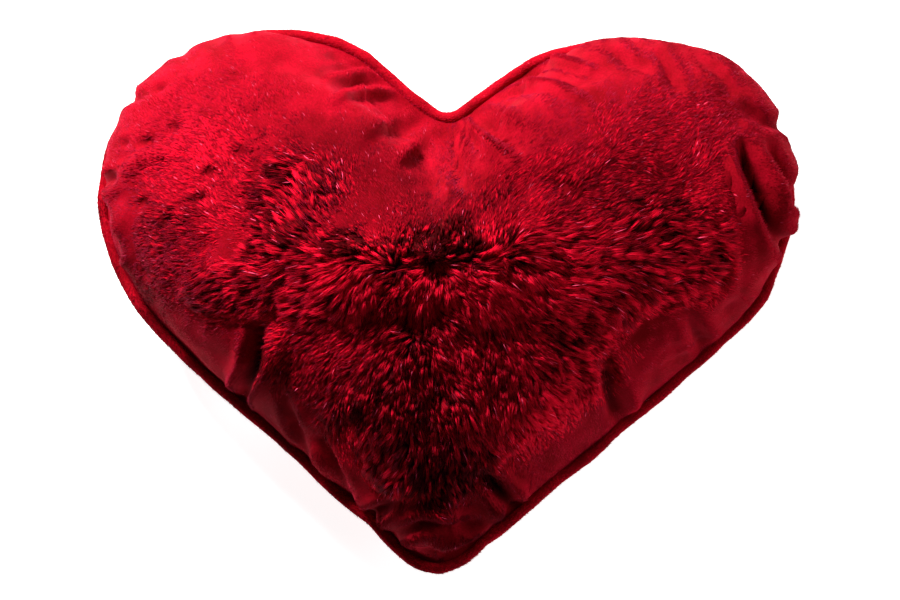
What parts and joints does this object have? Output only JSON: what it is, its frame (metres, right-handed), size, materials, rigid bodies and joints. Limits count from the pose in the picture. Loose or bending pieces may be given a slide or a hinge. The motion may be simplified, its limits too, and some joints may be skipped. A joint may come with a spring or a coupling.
{
  "type": "heart-shaped cushion",
  "caption": "Stuffed heart-shaped cushion in long-pile plush with a piped edge, a concealed coil zip in one straight side and an inner pad.",
  "frame": {"origin": "under the middle of the cushion, on the surface it lies on", "axes": "+X across the two lobes, to the right as the front is seen; +Y from the tip to the notch; +Z out of the front"},
  "size_m": [0.3996, 0.305, 0.12],
  "materials": {
    "front_plush": "long-pile plush, laid and clumped",
    "back_plush": "long-pile plush, pressed flat",
    "piping_plush": "short dense pile",
    "cord_cotton": "twisted cotton cord",
    "red_thread": "polyester sewing thread",
    "zip_tape": "woven tape",
    "zip_coil": "satin nylon wire",
    "zip_metal": "worn nickel plate",
    "label_satin": "satin ribbon, blank",
    "pad_cotton": "plain woven cotton",
    "white_thread": "cotton thread",
    "fibre": "loose polyester fibre"
  },
  "bodies": {
    "cover": {"front_panel": "front_plush", "back_panel": "back_plush", "piping_cover": "piping_plush", "piping_cord": "cord_cotton", "cover_seam_thread": "red_thread", "zip_tape_upper": "zip_tape", "zip_tape_lower": "zip_tape", "zip_coil_upper": "zip_coil", "zip_coil_lower": "zip_coil", "zip_filler_cords": "cord_cotton", "zip_top_stops": "zip_metal", "zip_bottom_stop": "zip_metal", "zip_stitching": "red_thread", "care_label": "label_satin", "pad_front": "pad_cotton", "pad_back": "pad_cotton", "pad_seam_thread": "white_thread", "pad_closing_stitches": "white_thread", "fibre_fill": "fibre"},
    "slider": {"zip_slider": "zip_metal"},
    "pull_tab": {"zip_pull_tab": "zip_metal"}
  },
  "joints": [
    {"name": "zip_slide", "type": "slide", "parent": "cover", "child": "slider", "axis": [-0.7546, -0.6561, 0], "range_m": [0, 0.132]},
    {"name": "tab_swing", "type": "hinge", "parent": "slider", "child": "pull_tab", "pos_m": [0.13913, -0.03085, 0.03642], "axis": [0.308, -0.3543, 0.8829], "range_deg": [0, 160]}
  ]
}
